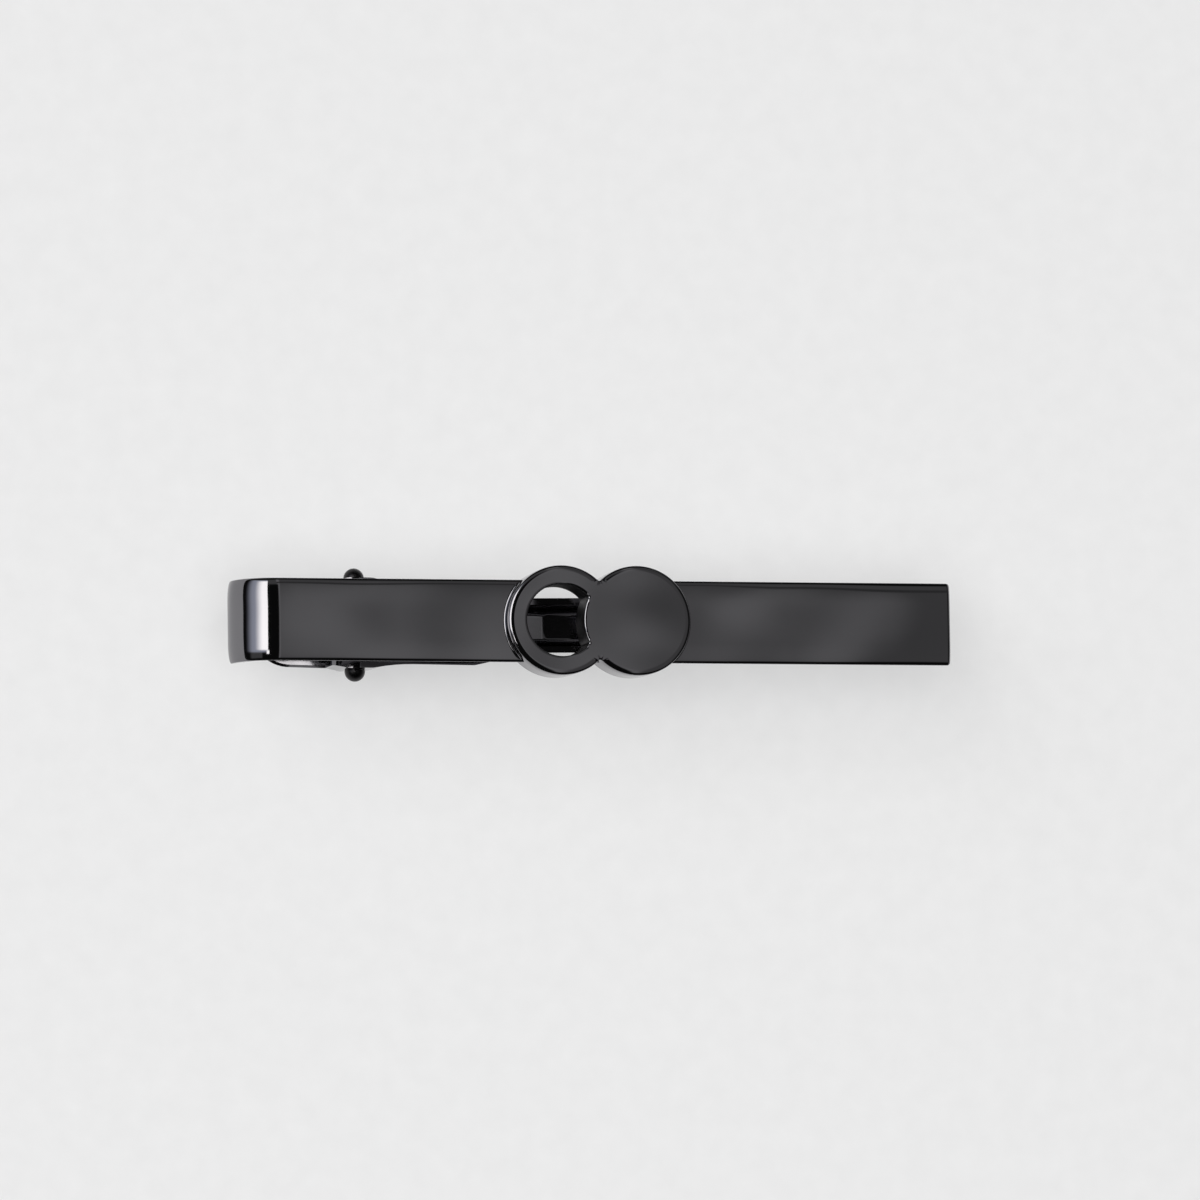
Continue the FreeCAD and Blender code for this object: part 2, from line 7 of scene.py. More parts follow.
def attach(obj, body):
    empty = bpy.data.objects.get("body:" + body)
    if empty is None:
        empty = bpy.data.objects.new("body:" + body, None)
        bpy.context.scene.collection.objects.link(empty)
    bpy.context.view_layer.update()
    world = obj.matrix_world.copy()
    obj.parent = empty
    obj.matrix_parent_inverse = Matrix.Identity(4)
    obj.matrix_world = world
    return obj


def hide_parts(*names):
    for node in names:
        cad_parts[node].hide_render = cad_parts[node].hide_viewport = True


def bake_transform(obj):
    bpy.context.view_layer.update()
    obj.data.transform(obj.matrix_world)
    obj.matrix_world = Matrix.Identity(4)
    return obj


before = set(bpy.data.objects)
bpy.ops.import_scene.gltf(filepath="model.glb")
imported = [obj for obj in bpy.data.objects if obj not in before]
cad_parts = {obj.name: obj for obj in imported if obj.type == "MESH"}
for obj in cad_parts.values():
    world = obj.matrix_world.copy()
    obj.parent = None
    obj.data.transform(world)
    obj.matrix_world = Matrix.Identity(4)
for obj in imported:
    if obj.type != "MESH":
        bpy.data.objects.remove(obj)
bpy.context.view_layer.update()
mm = 0.001
mergeGap = 0.001                              # points closer than this, in millimetres, are one
flatTurn = math.radians(0.5)                  # faces that turn less than this are one flat
colourA, colourB, colourOut = 6, 7, 2         # a Mix node's colour sockets
print("frame loaded:", ", ".join(sorted(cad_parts)))


def linearColour(code):
    parts = [int(code[i:i + 2], 16) / 255 for i in (1, 3, 5)]
    return tuple(c / 12.92 if c <= 0.04045 else ((c + 0.055) / 1.055) ** 2.4 for c in parts) + (1.0,)


def addNode(tree, kind, settings=None, values=None, links=None):
    made = tree.nodes.new(kind)
    for name, setting in (settings or {}).items():
        setattr(made, name, setting)
    for socket, number in (values or {}).items():
        made.inputs[socket].default_value = number
    for socket, source in (links or {}).items():
        tree.links.new(source, made.inputs[socket])
    return made


def deselectAll():
    if bpy.context.object and bpy.context.object.mode != "OBJECT":
        bpy.ops.object.mode_set(mode="OBJECT")
    bpy.ops.object.select_all(action="DESELECT")


def selectOnly(piece):
    deselectAll()
    piece.select_set(True)
    bpy.context.view_layer.objects.active = piece


def newest(name):
    made = bpy.context.object
    made.name = name
    made.data.name = name
    return made


# picks verts, edges or faces by a test on their place, and leaves the piece in edit mode
def pick(piece, part, test):
    bpy.context.view_layer.objects.active = piece
    bpy.ops.object.mode_set(mode="EDIT")
    bpy.ops.mesh.select_mode(type=part)
    bpy.ops.mesh.select_all(action="DESELECT")
    bpy.ops.object.mode_set(mode="OBJECT")
    mesh = piece.data
    if part == "VERT":
        for vert in mesh.vertices:
            vert.select = test(vert.co)
    elif part == "EDGE":
        sides = {}
        for face in mesh.polygons:
            for key in face.edge_keys:
                sides.setdefault(key, []).append(face.normal)
        for edge in mesh.edges:
            ends = [mesh.vertices[i].co for i in edge.vertices]
            edge.select = test(*ends, sides.get(edge.key, []))
    else:
        for face in mesh.polygons:
            face.select = test(face.center)
    bpy.ops.object.mode_set(mode="EDIT")


def pickAll(piece):
    pick(piece, "VERT", lambda co: True)


def extrude(x, y, z):
    bpy.ops.mesh.extrude_region_move(TRANSFORM_OT_translate={"value": (x, y, z)})


# with no window, spin turns clockwise, so the angle is given the other way round
def spin(angle, steps, centre, axis):
    bpy.ops.mesh.spin(steps=steps, angle=math.radians(-angle), center=centre, axis=axis)


def faceOutwards():
    bpy.ops.mesh.select_all(action="SELECT")
    bpy.ops.mesh.normals_make_consistent(inside=False)
    bpy.ops.object.mode_set(mode="OBJECT")


def applyModifier(piece, kind, **settings):
    selectOnly(piece)
    added = piece.modifiers.new(kind.title(), kind)
    for name, setting in settings.items():
        setattr(added, name, setting)
    bpy.ops.object.modifier_apply(modifier=added.name)


def combine(piece, other, how):
    applyModifier(piece, "BOOLEAN", operation=how, object=other, solver="EXACT")
    bpy.data.objects.remove(other)


# pieces are modelled in millimetres and end here in metres, with clean normals
def cleanUp(piece, sharpAngle):
    pickAll(piece)
    bpy.ops.mesh.remove_doubles(threshold=mergeGap / 2)
    faceOutwards()
    selectOnly(piece)
    piece.scale = (mm, mm, mm)
    bpy.ops.object.transform_apply(location=True, rotation=True, scale=True)
    bpy.ops.object.shade_smooth_by_angle(angle=math.radians(sharpAngle))
    applyModifier(piece, "WEIGHTED_NORMAL", keep_sharp=True, weight=100, use_face_influence=True)


# front bar: one strip, rolled over at the hook end, polished until its long edges went soft
bar = {
    "length": 56.8, "width": 6.45, "thick": 1.8,
    "bendInside": 1.6, "hookDrop": 0.6,
    "edgeAcross": 1.6, "edgeDown": 0.25,      # the soft front edges, wider than they are deep
    "backEdge": 0.3, "draft": 0.22,           # the sides slope in a little towards the back
    "endRound": 0.3, "hookRound": 0.55, "endSteps": 6, "edgeSteps": 14, "bendSteps": 40,
    # the cove thins to a share of its size over the last few degrees before the strip's edges
    "coveRadius": 0.22, "coveStop": 0.12, "coveFade": 7.0, "coveThin": 0.02,
    "coveSteps": 6, "coveTurns": 60,
    "flush": 0.004,                           # keeps flat faces of joined solids out of one plane
    "cutPast": 1.0,                           # the hole's cutter stands out this far at both ends
    "sharpAngle": 35,
}
ornament = {
    "radius": 4.25, "hole": 2.8, "spacing": 6.0, "offset": 0.1, "height": 1.0,
    "rimAcross": 0.45, "rimDown": 0.16, "holeRim": 0.2, "rimSteps": 10,
    # a rim lies between a level and an upright face, told by how far their normals point up
    "levelFace": 0.9, "uprightFace": 0.1, "holeSlack": 0.05,
    "notch": 0.2, "notchSteps": 4, "notchTurn": 0.3,      # upright edges that turn more, in radians, are notches
    "arcSteps": 120, "holeSteps": 90, "biteSteps": 24, "sharpAngle": 35,
}
ringX = ornament["offset"] - ornament["spacing"] / 2
discX = ornament["offset"] + ornament["spacing"] / 2


def startVertex(name, spot):
    deselectAll()
    bpy.ops.mesh.primitive_plane_add(size=1, location=spot)
    made = newest(name)
    bpy.ops.object.transform_apply(location=True, rotation=True, scale=True)
    bpy.ops.object.mode_set(mode="EDIT")
    bpy.ops.mesh.select_all(action="SELECT")
    bpy.ops.mesh.merge(type="CENTER")
    return made


def closeLoop():
    bpy.ops.mesh.select_all(action="SELECT")
    bpy.ops.mesh.remove_doubles(threshold=mergeGap)
    bpy.ops.object.mode_set(mode="OBJECT")


# ring and disc share one outline: two arcs that meet in the notches
def ringAndDisc(name, low):
    meet = math.sqrt(ornament["radius"] ** 2 - (ornament["spacing"] / 2) ** 2)
    sweep = 360 - 2 * math.degrees(math.atan2(meet, ornament["spacing"] / 2))
    loop = startVertex(name, (ornament["offset"], meet, low))
    for x in (ringX, discX):
        spin(sweep, ornament["arcSteps"], (x, 0, low), (0, 0, 1))
    closeLoop()
    return loop


# the hole is round but for the bite that the disc takes out of it
def holeLoop(name, low):
    gap, hole, radius = ornament["spacing"], ornament["hole"], ornament["radius"]
    across = (gap ** 2 + hole ** 2 - radius ** 2) / (2 * gap)
    up = math.sqrt(hole ** 2 - across ** 2)
    sweep = 360 - 2 * math.degrees(math.atan2(up, across))
    bite = -2 * math.degrees(math.atan2(up, gap - across))
    loop = startVertex(name, (ringX + across, up, low))
    spin(sweep, ornament["holeSteps"], (ringX, 0, low), (0, 0, 1))
    spin(bite, ornament["biteSteps"], (discX, 0, low), (0, 0, 1))
    closeLoop()
    return loop


def raiseLoop(piece, height):
    pickAll(piece)
    bpy.ops.mesh.fill(use_beauty=True)
    bpy.ops.mesh.select_all(action="SELECT")
    extrude(0, 0, height)
    faceOutwards()


# softens the upright edges where two arcs meet
def roundCorners(piece, height):
    pick(piece, "EDGE", lambda a, b, sides: abs(a.z - b.z) > height / 2
         and sides[0].angle(sides[1]) > ornament["notchTurn"])
    bpy.ops.mesh.bevel(offset=ornament["notch"], segments=ornament["notchSteps"], affect="EDGES")
    bpy.ops.object.mode_set(mode="OBJECT")


def makeStrip():
    squash = bar["edgeAcross"] / bar["edgeDown"]
    half = bar["width"] / 2
    middle = bar["thick"] / 2
    tip = bar["length"] / 2
    bend = bar["bendInside"] + bar["thick"]
    deselectAll()
    bpy.ops.mesh.primitive_plane_add(size=1, rotation=(0, math.radians(90), 0))
    strip = newest("frontBar")
    strip.scale = (bar["thick"] * squash, bar["width"], 1)
    bpy.ops.object.transform_apply(location=True, rotation=True, scale=True)
    pick(strip, "VERT", lambda co: co.z < 0)
    bpy.ops.transform.resize(value=(1, 1 - bar["draft"] / half, 1), center_override=(0, 0, 0))
    # round the section's corners while it stands too tall, then press it to its real thickness
    pick(strip, "VERT", lambda co: co.z > 0)
    bpy.ops.mesh.bevel(offset=bar["edgeAcross"], segments=bar["edgeSteps"], affect="VERTICES")
    pick(strip, "VERT", lambda co: co.z < mergeGap - middle * squash)
    bpy.ops.mesh.bevel(offset=bar["backEdge"], segments=bar["edgeSteps"] // 2, affect="VERTICES")
    bpy.ops.mesh.select_all(action="SELECT")
    bpy.ops.transform.resize(value=(1, 1, 1 / squash), center_override=(0, 0, 0))
    bpy.ops.transform.translate(value=(tip, 0, middle))
    # the tip: the section swells from a slightly smaller end
    turns = [math.radians(90) * i / bar["endSteps"] for i in range(bar["endSteps"] + 1)]
    shrink = [bar["endRound"] * (1 - math.sin(t)) for t in turns]
    smaller = (1, 1 - shrink[0] / half, 1 - shrink[0] / middle)
    bpy.ops.transform.resize(value=smaller, center_override=(0, 0, middle))
    for i in range(1, len(turns)):
        step = bar["endRound"] * (math.cos(turns[i - 1]) - math.cos(turns[i]))
        extrude(-step, 0, 0)
        wider = (half - shrink[i]) / (half - shrink[i - 1])
        thicker = (middle - shrink[i]) / (middle - shrink[i - 1])
        bpy.ops.transform.resize(value=(1, wider, thicker), center_override=(0, 0, middle))
    straight = bar["length"] - bend - bar["endRound"]
    extrude(-straight, 0, 0)
    spin(-90, bar["bendSteps"], (bend - tip, 0, bar["thick"] - bend), (0, 1, 0))
    hook = bar["hookDrop"] - bar["hookRound"]
    extrude(0, 0, -hook)
    # the hook's corners are rounder than the tip's
    corner = [bar["hookRound"] * (1 - math.sin(t)) for t in turns]
    for i in range(len(turns) - 2, -1, -1):
        step = bar["hookRound"] * (math.cos(turns[i]) - math.cos(turns[i + 1]))
        extrude(0, 0, -step)
        thinner = (middle - shrink[i]) / (middle - shrink[i + 1])
        narrower = (half - corner[i]) / (half - corner[i + 1])
        bpy.ops.transform.resize(value=(thinner, narrower, 1), center_override=(middle - tip, 0, 0))
    faceOutwards()
    return strip


# where the ornament's wall stands on the strip, the polish leaves a small hollow curve
def makeCove(x, way):
    radius = bar["coveRadius"]
    wall = ornament["radius"]
    reach = math.degrees(math.asin((bar["width"] / 2 - bar["coveStop"]) / wall))
    low = bar["thick"] - bar["edgeDown"]
    profile = [(wall, low), (wall, bar["thick"] + radius)]
    for i in range(1, bar["coveSteps"] + 1):
        turn = math.radians(90) * i / bar["coveSteps"]
        out = wall + radius * (1 - math.cos(turn))
        profile.append((out, bar["thick"] + radius * (1 - math.sin(turn))))
    profile.append((wall + radius, low))
    deselectAll()
    bpy.ops.mesh.primitive_circle_add(vertices=len(profile), fill_type="NGON")
    cove = newest("cove")
    for vert, (out, up) in zip(cove.data.vertices, profile):
        vert.co = Vector((out * way, 0, up))
    cove.data.transform(Matrix.Rotation(math.radians(-reach), 4, "Z"))
    pickAll(cove)
    spin(2 * reach, bar["coveTurns"], (0, 0, 0), (0, 0, 1))
    bpy.ops.object.mode_set(mode="OBJECT")
    # it thins out towards the strip's edges
    for vert in cove.data.vertices:
        turn = math.degrees(math.atan2(abs(vert.co.y), abs(vert.co.x)))
        full = max(bar["coveThin"], min(1, (reach - turn) / bar["coveFade"]))
        out = vert.co.xy.length
        vert.co.xy *= (wall + (out - wall) * full) / out
        vert.co.z = low + (vert.co.z - low) * full
    pickAll(cove)
    bpy.ops.transform.translate(value=(x, 0, 0))
    faceOutwards()
    return cove


def makeFrontBar():
    made = makeStrip()
    swell = ringAndDisc("swell", bar["flush"])
    raiseLoop(swell, bar["thick"] - 2 * bar["flush"])
    roundCorners(swell, bar["thick"])
    combine(made, swell, "UNION")
    for x, way in ((ringX, -1), (discX, 1)):
        combine(made, makeCove(x, way), "UNION")
    cutter = holeLoop("holeCutter", -bar["cutPast"])
    raiseLoop(cutter, bar["thick"] + 2 * bar["cutPast"])
    roundCorners(cutter, bar["thick"])
    combine(made, cutter, "DIFFERENCE")
    return made


frontBar = makeFrontBar()
cleanUp(frontBar, bar["sharpAngle"])
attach(frontBar, "front")
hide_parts("front_bar")
print("front bar:", len(frontBar.data.polygons), "faces")


def makeOrnament():
    low = bar["thick"]
    plate = ringAndDisc("ornamentPlate", low)
    hole = holeLoop("hole", low)
    selectOnly(plate)
    hole.select_set(True)
    bpy.ops.object.join()
    raiseLoop(plate, ornament["height"])
    roundCorners(plate, ornament["height"])
    # one clean face on top, then the rims are rounded on a plate that stands too tall and is pressed back
    pickAll(plate)
    bpy.ops.mesh.dissolve_limited(angle_limit=flatTurn)
    squash = ornament["rimAcross"] / ornament["rimDown"]
    bpy.ops.mesh.select_all(action="SELECT")
    bpy.ops.transform.resize(value=(1, 1, squash), center_override=(0, 0, low))
    top = low + ornament["height"] * squash
    ringMiddle = Vector((ringX, 0, top))
    holeEnd = ornament["hole"] + ornament["holeSlack"]
    rims = ((False, ornament["rimAcross"], "ALL"), (True, ornament["holeRim"], "AFFECTED"))
    for ofHole, width, strength in rims:
        pick(plate, "EDGE", lambda a, b, sides: min(a.z, b.z) > top - mergeGap
             and max(n.z for n in sides) > ornament["levelFace"]
             and min(n.z for n in sides) < ornament["uprightFace"]
             and (max((a - ringMiddle).length, (b - ringMiddle).length) < holeEnd) == ofHole)
        bpy.ops.mesh.bevel(offset=width, segments=ornament["rimSteps"], affect="EDGES",
                           face_strength_mode=strength)
    bpy.ops.mesh.select_all(action="SELECT")
    bpy.ops.transform.resize(value=(1, 1, 1 / squash), center_override=(0, 0, low))
    bpy.ops.object.mode_set(mode="OBJECT")
    return plate


ornamentPlate = makeOrnament()
cleanUp(ornamentPlate, ornament["sharpAngle"])
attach(ornamentPlate, "front")
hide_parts("ornament_plate")
print("ornament:", len(ornamentPlate.data.polygons), "faces")

# clip lever: pressed from one sheet, with wide folds along its floor and a slightly crowned thumb tab
lever = {
    "hinge": (-18.1, 0.0, -2.9), "sheet": 0.5, "floorDrop": 1.84, "foldRound": 0.2,
    "crankStart": 15.45, "jawReach": 33.1, "jawRise": 3.23,
    "tabStart": 1.94, "tabCrown": 30.0, "tabRise": 0.05, "crownEase": 1.2,
    "earFlat": 1.0, "earInside": 2.84,
    # half widths along the lever, from the tab to the jaw
    "plan": [(-9.0, 3.22), (-1.94, 3.22), (-1.0, 3.5), (1.0, 3.5),
             (4.3, 3.165), (9.25, 3.165), (13.8, 2.125), (40.0, 2.125)],
    # fold radius along the lever: tight at the tab, wide from the ears on
    "folds": [(-9.0, 0.22), (-2.2, 0.22), (0.2, 1.0), (40.0, 1.1)],
    # wall heights from the ears to the jaw, and how far the walls lean in once they are clear of the bracket
    "walls": [(-9.0, 4.03), (0.2, 4.03), (13.8, 2.65), (15.45, 2.87),
              (24.7, 2.39), (25.9, 2.77), (40.0, 0.2)],
    "wallsFrom": -2.2, "lean": 8.0, "leanFrom": 1.2, "leanBy": 3.0,
    # in sheet thicknesses: how near a point lies to be on an outer face, on the jaw's end or in a wall,
    # and how high the ears' flat starts
    "onOuter": 0.55, "onEnd": 0.9, "inWall": 1.2, "earFoot": 2.0,
    # the sheet is cut here before it is pressed, and the last two cuts along keep the crank's bend short
    "cutsAlong": [-6.5, -5.5, -4.6, -3.8, -3.2, -2.6, -1.6, -1.2, -0.8, -0.4, 0.0, 0.2, 0.6, 1.2,
                  1.6, 2.0, 2.5, 3.0, 3.6, 5.2, 6.0, 7.5, 9.0, 11.0, 12.5, 15.2, 15.7],
    "cutsUp": [0.05, 0.12, 0.3, 0.62, 0.8, 1.0, 1.25], "cutsUpFrom": -2.6,
    "cutsAcross": [0.7, 1.4, 2.0, 2.5, 2.85],
    "sharpAngle": 35,
}


def alongLever(rows, x):
    for (startX, start), (stopX, stop) in zip(rows, rows[1:]):
        if x <= stopX:
            return start + (stop - start) * (x - startX) / (stopX - startX)


# 0 to 1 with a soft start and a soft end
def soften(share):
    share = min(1, max(0, share))
    return share * share * (3 - 2 * share)


def cutFaces(piece, spot, normal, test):
    pick(piece, "FACE", test)
    bpy.ops.mesh.bisect(plane_co=spot, plane_no=normal)
    bpy.ops.object.mode_set(mode="OBJECT")


# moves one point of the straight-walled lever to where the press leaves it
def pressVertex(vert, crankSlope):
    x, y, z = vert.co
    sheet = lever["sheet"]
    up = z + lever["floorDrop"] - max(0, x - lever["crankStart"]) * crankSlope
    if x < -lever["tabStart"]:
        crown = lever["tabRise"] - y ** 2 / (2 * lever["tabCrown"])
        vert.co.z += crown * soften((-lever["tabStart"] - x) / lever["crownEase"])
    if x < lever["wallsFrom"]:
        return
    depth = max(0, alongLever(lever["walls"], x) - up)
    leaned = soften((x - lever["leanFrom"]) / (lever["leanBy"] - lever["leanFrom"]))
    inset = depth * math.tan(math.radians(lever["lean"])) * leaned
    fold = alongLever(lever["folds"], x)
    drop = min(fold, max(0, fold - up))
    half = alongLever(lever["plan"], x)
    if abs(y) > half - lever["onOuter"] * sheet or x > lever["jawReach"] - lever["onEnd"] * sheet:
        small = max(0, lever["foldRound"] - max(0, up))
        already = lever["foldRound"] - math.sqrt(lever["foldRound"] ** 2 - small ** 2)
        inset += max(0, fold - math.sqrt(fold ** 2 - drop ** 2) - already)
    elif fold > sheet:
        inner = fold - sheet
        inset += inner - math.sqrt(max(0, inner ** 2 - drop ** 2))
    wide = max(0, abs(y) - inset)
    if x < -lever["earFlat"] and up > lever["earFoot"] * sheet and abs(y) > half - lever["inWall"] * sheet:
        wide = max(wide, lever["earInside"])
    vert.co.y = math.copysign(wide, y)


def makeLever():
    hinge = Vector(lever["hinge"])
    crankX = lever["crankStart"]
    crank = math.atan2(lever["jawRise"], lever["jawReach"] - crankX)
    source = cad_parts["clip_lever"]
    made = source.copy()
    made.data = source.data.copy()
    made.name = made.data.name = "clipLever"
    made.parent = None
    bpy.context.scene.collection.objects.link(made)
    made.data.transform(Matrix.Translation(-hinge) @ Matrix.Scale(1 / mm, 4))
    selectOnly(made)
    if made.data.has_custom_normals:
        bpy.ops.mesh.customdata_custom_splitnormals_clear()
    pickAll(made)
    bpy.ops.mesh.remove_doubles(threshold=mergeGap)
    bpy.ops.mesh.dissolve_limited(angle_limit=flatTurn)
    for x in lever["cutsAlong"]:
        cutFaces(made, (x, 0, 0), (1, 0, 0), lambda spot: True)
    # the walls run straight through the crank, so they are cut there as well
    wallInside = lever["plan"][-1][1] - lever["inWall"] * lever["sheet"]
    cutFaces(made, (crankX, 0, 0), (1, 0, 0), lambda spot: abs(spot.y) > wallInside)
    tilted = (-math.sin(crank), 0, math.cos(crank))
    for up in lever["cutsUp"]:
        level = up - lever["floorDrop"]
        cutFaces(made, (0, 0, level), (0, 0, 1), lambda spot: lever["cutsUpFrom"] < spot.x < crankX)
        cutFaces(made, (crankX, 0, level), tilted, lambda spot: spot.x > crankX)
    for across in lever["cutsAcross"]:
        for side in (-1, 1):
            cutFaces(made, (0, side * across, 0), (0, 1, 0), lambda spot: spot.x < -lever["tabStart"])
    for vert in made.data.vertices:
        pressVertex(vert, math.tan(crank))
    made.data.transform(Matrix.Translation(hinge))
    return made


clipLever = makeLever()
cleanUp(clipLever, lever["sharpAngle"])
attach(clipLever, "lever")
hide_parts("clip_lever")
print("lever:", len(clipLever.data.polygons), "faces")

# torsion spring: wound round the pin, one leg under the bar and one on the thumb tab
spring = {
    "wire": 0.45, "coil": 0.975, "pitch": 0.95, "turns": 2, "leg": 5.0,
    "barLean": 20.43, "tabLean": 3.12, "hinge": lever["hinge"], "sides": 20, "stepsPerTurn": 48,
    "endReach": 0.51,                         # in wire thicknesses, a little more than the wire's radius
    "sharpAngle": 40,
}


def makeSpring():
    sweep = spring["turns"] * 360 + 180 - spring["barLean"] - spring["tabLean"]
    wide = spring["pitch"] * sweep / 360
    deselectAll()
    bpy.ops.mesh.primitive_circle_add(vertices=spring["sides"], radius=spring["wire"] / 2,
                                      fill_type="NOTHING", location=(spring["coil"], -wide / 2, 0))
    coil = newest("torsionSpring")
    bpy.ops.object.transform_apply(location=True, rotation=True, scale=True)
    steps = round(spring["stepsPerTurn"] * sweep / 360)
    applyModifier(coil, "SCREW", axis="Y", angle=math.radians(-sweep), screw_offset=wide,
                  steps=steps, render_steps=steps)
    first = math.radians(spring["tabLean"] - 90)
    coil.data.transform(Matrix.Rotation(-first, 4, "Y"))
    # the legs run straight on from the two open ends
    for end, turn in ((-1, first), (1, first + math.radians(sweep))):
        spot = Vector((math.cos(turn), 0, math.sin(turn))) * spring["coil"]
        spot.y = end * wide / 2
        way = Vector((-math.sin(turn), 0, math.cos(turn))) * end
        pick(coil, "VERT", lambda co: (co - spot).length < spring["wire"] * spring["endReach"])
        extrude(*(way * spring["leg"]))
        bpy.ops.mesh.edge_face_add()
    bpy.ops.mesh.select_all(action="SELECT")
    bpy.ops.transform.translate(value=spring["hinge"])
    return coil, wide


torsionSpring, springWide = makeSpring()
cleanUp(torsionSpring, spring["sharpAngle"])
springX, springY, springZ = spring["hinge"]
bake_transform(torsionSpring)
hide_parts("torsion_spring")
print("spring:", len(torsionSpring.data.polygons), "faces")


# all finishes: long along the bar, because buffing wheels run along it
# real wipe marks are too fine to show, so each finish draws them as coarse as its wipeMm
buffing = {"stretch": (0.45, 1.0, 1.0), "waveDetail": 1.0, "wipeDetail": 3.0}
# black nickel over polished brass: a dark mirror with slow buffing waves and faint wipe marks
plating = {
    "colour": "#818083", "haze": "#737275", "roughness": 0.045, "roughnessSpread": 0.03,
    "waveMm": 7.0, "waveHeight": 0.4, "wipeMm": 0.5, "wipeHeight": 0.0006,
}
# the pressed lever and bracket: barrel-plated, the same black but with a softer gloss
fittings = {
    "colour": "#7A797C", "haze": "#6C6B6E", "roughness": 0.07, "roughnessSpread": 0.05,
    "waveMm": 4.0, "waveHeight": 0.008, "wipeMm": 0.35, "wipeHeight": 0.0012,
}
# the same plating left dull where no wheel reaches, in the ring's hole, and painted nearly black as painted
# shade of the deep hole
holeWallShadeFinish = {
    "colour": "#2E2D2E", "haze": "#242324", "roughness": 0.42, "roughnessSpread": 0.15,
    "waveMm": 2.0, "waveHeight": 0.004, "wipeMm": 0.2, "wipeHeight": 0.002,
}
# the turned pin, dulled by handling
pinBlack = {
    "colour": "#3A393A", "haze": "#2C2B2C", "roughness": 0.3, "roughnessSpread": 0.12,
    "waveMm": 1.5, "waveHeight": 0.003, "wipeMm": 0.15, "wipeHeight": 0.0015,
}
# drawn spring steel: greyer, with the dull gloss of drawn wire
springSteel = {
    "colour": "#8C8A88", "haze": "#6F6C69", "roughness": 0.26, "roughnessSpread": 0.12,
    "waveMm": 1.6, "waveHeight": 0.002, "wipeMm": 0.12, "wipeHeight": 0.001,
}


def polishedMetal(name, finish):
    made = bpy.data.materials.new(name)
    made.use_nodes = True
    tree = made.node_tree
    tree.nodes.clear()
    place = addNode(tree, "ShaderNodeTexCoord")
    stretch = addNode(tree, "ShaderNodeMapping", values={"Scale": buffing["stretch"]},
                      links={"Vector": place.outputs["Object"]})
    waves = addNode(tree, "ShaderNodeTexNoise",
                    values={"Scale": 1 / (finish["waveMm"] * mm), "Detail": buffing["waveDetail"]},
                    links={"Vector": stretch.outputs[0]})
    wipes = addNode(tree, "ShaderNodeTexNoise",
                    values={"Scale": 1 / (finish["wipeMm"] * mm), "Detail": buffing["wipeDetail"]},
                    links={"Vector": stretch.outputs[0]})
    tint = addNode(tree, "ShaderNodeMix", settings={"data_type": "RGBA"},
                   values={colourA: linearColour(finish["colour"]), colourB: linearColour(finish["haze"])},
                   links={0: waves.outputs["Fac"]})
    gloss = addNode(tree, "ShaderNodeMapRange",
                    values={"To Min": finish["roughness"],
                            "To Max": finish["roughness"] + finish["roughnessSpread"]},
                    links={"Value": wipes.outputs["Fac"]})
    waveBump = addNode(tree, "ShaderNodeBump",
                       values={"Strength": 1.0, "Distance": finish["waveHeight"] * mm},
                       links={"Height": waves.outputs["Fac"]})
    wipeBump = addNode(tree, "ShaderNodeBump",
                       values={"Strength": 1.0, "Distance": finish["wipeHeight"] * mm},
                       links={"Height": wipes.outputs["Fac"], "Normal": waveBump.outputs["Normal"]})
    shader = addNode(tree, "ShaderNodeBsdfPrincipled", values={"Metallic": 1.0},
                     links={"Base Color": tint.outputs[colourOut], "Roughness": gloss.outputs["Result"],
                            "Normal": wipeBump.outputs["Normal"]})
    addNode(tree, "ShaderNodeOutputMaterial", links={"Surface": shader.outputs["BSDF"]})
    return made


def dress(piece, material):
    piece.data.materials.clear()
    piece.data.materials.append(material)


blackNickel = polishedMetal("blackNickelPolished", plating)
fittingsNickel = polishedMetal("blackNickelSatin", fittings)
# painted shade: the hole's walls are made nearly black, darker than the plating is
holeWallShade = polishedMetal("blackNickelHoleShadePainted", holeWallShadeFinish)
pinNickel = polishedMetal("blackNickelTurned", pinBlack)
springWire = polishedMetal("drawnSpringSteel", springSteel)
# the hole's upright walls get the dull finish that carries the painted shade
holeWall = {"slack": 0.02, "upright": 0.3}
ringCentre = Vector((ringX * mm, 0))
holeReach = (ornament["hole"] + holeWall["slack"]) * mm
for piece in (frontBar, ornamentPlate):
    dress(piece, blackNickel)
    piece.data.materials.append(holeWallShade)
    for face in piece.data.polygons:
        inHole = (face.center.xy - ringCentre).length < holeReach
        face.material_index = int(inHole and abs(face.normal.z) < holeWall["upright"])
dress(clipLever, fittingsNickel)
dress(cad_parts["hinge_bracket"], fittingsNickel)
dress(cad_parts["hinge_pin"], pinNickel)
dress(torsionSpring, springWire)
finishes = (blackNickel, holeWallShade, fittingsNickel, pinNickel, springWire)
print("materials:", ", ".join(finish.name for finish in finishes))

# table: pale board, low enough for the opened jaw, its fibre drawn coarse enough to show
table = {
    "size": 4.0, "drop": 13.2, "colour": "#EDEDED", "speck": "#E6E6E6", "speckMm": 2.0, "speckDetail": 4.0,
    "roughness": 0.7, "specular": 0.2, "glow": 0.55,
}


